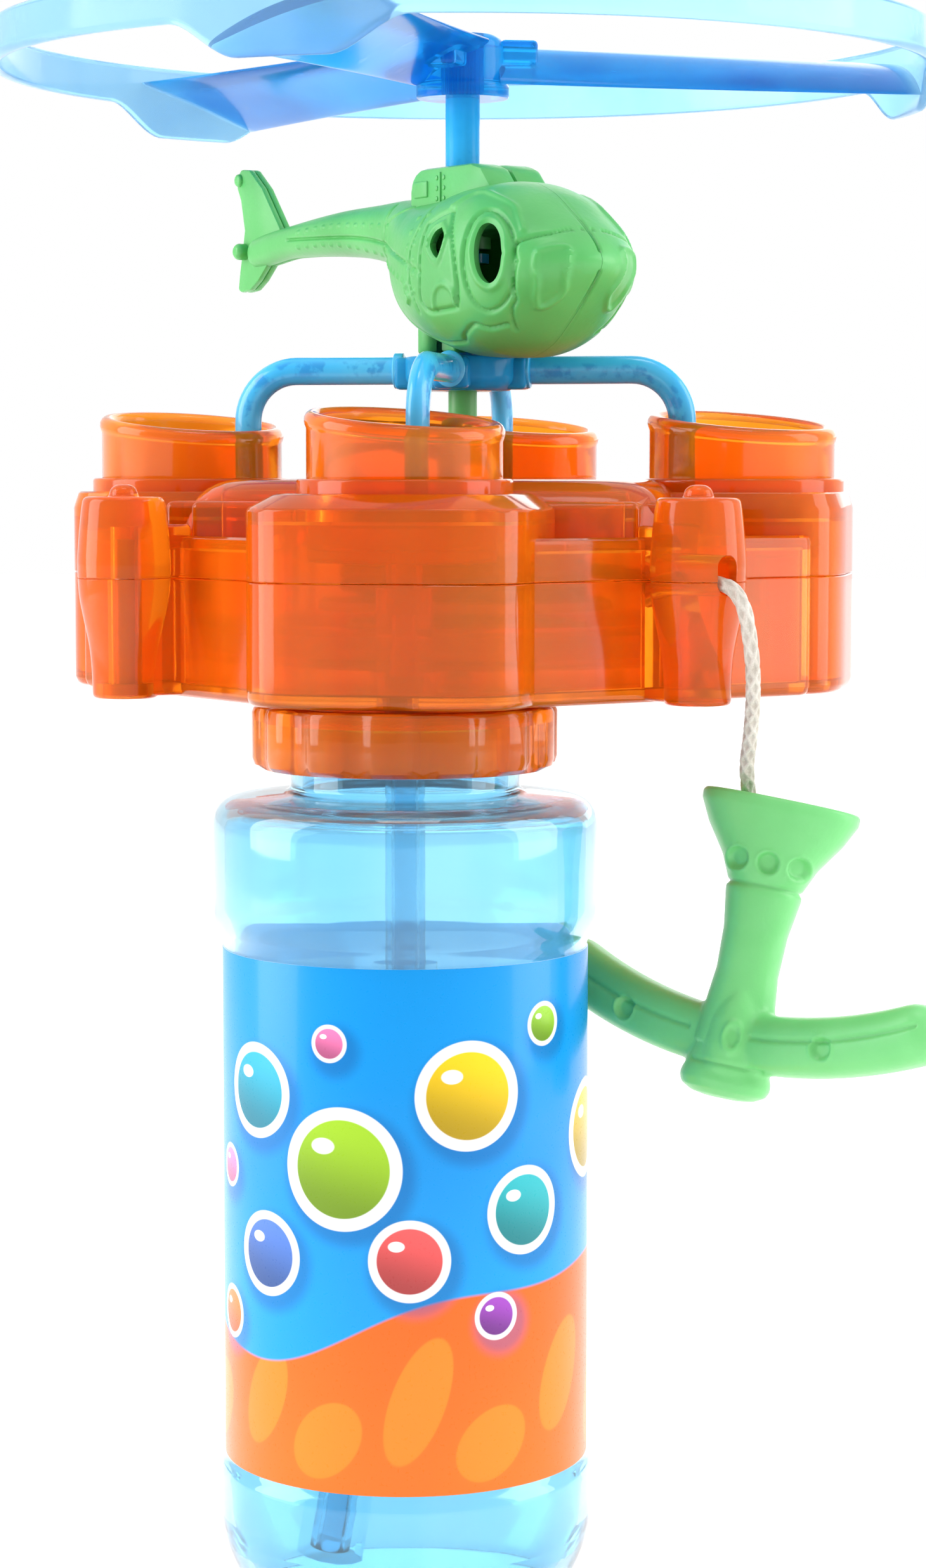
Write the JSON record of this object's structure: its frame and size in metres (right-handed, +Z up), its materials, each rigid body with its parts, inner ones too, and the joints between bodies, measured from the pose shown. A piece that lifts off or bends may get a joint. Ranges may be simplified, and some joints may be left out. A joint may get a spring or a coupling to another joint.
{
  "type": "bubble blower",
  "caption": "Bubble copter toy: a hooped-rotor helicopter on bubble wands sits in cups on a drum over a squeeze bottle, and a cord with a T handle launches it.",
  "frame": {"origin": "centre of the bottle's flat base, on the surface it stands on", "axes": "+Z up along the bottle; the drum lies behind the bottle along +Y and the cord leaves towards +X and -Y"},
  "size_m": [0.1253, 0.12, 0.1937],
  "materials": {
    "bottle_blue": "clear tinted gloss",
    "label_print": "printed film, satin",
    "solution": "clear liquid",
    "orange_clear": "translucent gloss",
    "blue_clear": "translucent gloss",
    "green_body": "satin opaque",
    "green_light": "satin opaque",
    "tube_clear": "clear soft tube",
    "white_plastic": "satin",
    "cord_fabric": "braided cord",
    "steel": "bright zinc"
  },
  "bodies": {
    "bottle": {"bottle": "bottle_blue", "bottle_label": "label_print", "bubble_solution": "solution"},
    "drum": {"lower_shell": "orange_clear", "upper_shell": "orange_clear", "dip_tube": "tube_clear", "neck_seal": "white_plastic", "cup_front": "orange_clear", "cup_right": "orange_clear", "cup_back": "orange_clear", "cup_left": "orange_clear", "feed_manifold": "orange_clear", "drum_screws": "steel", "recoil_spring": "steel", "cord_run": "cord_fabric"},
    "collar": {"screw_collar": "orange_clear"},
    "reel": {"cord_reel": "white_plastic", "drive_spindle": "green_body", "cord_winding": "cord_fabric"},
    "copter": {"heli_left_half": "green_body", "heli_right_half": "green_body", "mast_sleeve": "green_body", "arm_hub": "blue_clear", "wand_front": "blue_clear", "wand_right": "blue_clear", "wand_back": "blue_clear", "wand_left": "blue_clear"},
    "rotor": {"rotor": "blue_clear", "rotor_shaft": "blue_clear", "shaft_clip": "white_plastic"},
    "handle": {"pull_handle": "green_light", "cord_knot": "cord_fabric", "pull_cord": "cord_fabric"}
  },
  "joints": [
    {"name": "drum_unscrew", "type": "slide", "parent": "bottle", "child": "drum", "axis": [0, 0, 1], "range_m": [0, 0.006]},
    {"name": "collar_turn", "type": "hinge", "parent": "drum", "child": "collar", "pos_m": [0, 0, 0.106], "axis": [0, 0, 1], "range_deg": [0, 720]},
    {"name": "copter_lift", "type": "slide", "parent": "drum", "child": "copter", "axis": [0, 0, 1], "range_m": [0, 0.08]},
    {"name": "handle_pull", "type": "slide", "parent": "drum", "child": "handle", "axis": [0.7071, -0.7071, 0], "range_m": [0, 0.35], "stiffness_N_per_m": 6, "springref_m": -0.1, "deforming": ["pull_cord"]},
    {"name": "reel_spin", "type": "hinge", "parent": "drum", "child": "reel", "pos_m": [0, 0.036, 0.124], "axis": [0, 0, 1], "continuous": true},
    {"name": "rotor_spin", "type": "hinge", "parent": "copter", "child": "rotor", "pos_m": [0, 0.036, 0.19], "axis": [0, 0, 1], "continuous": true}
  ],
  "couplings": [
    {"joint": "collar_turn", "follows": "drum_unscrew", "rad_per_m": 2094.4},
    {"joint": "reel_spin", "follows": "handle_pull", "rad_per_m": -58},
    {"joint": "rotor_spin", "follows": "handle_pull", "rad_per_m": -58}
  ]
}
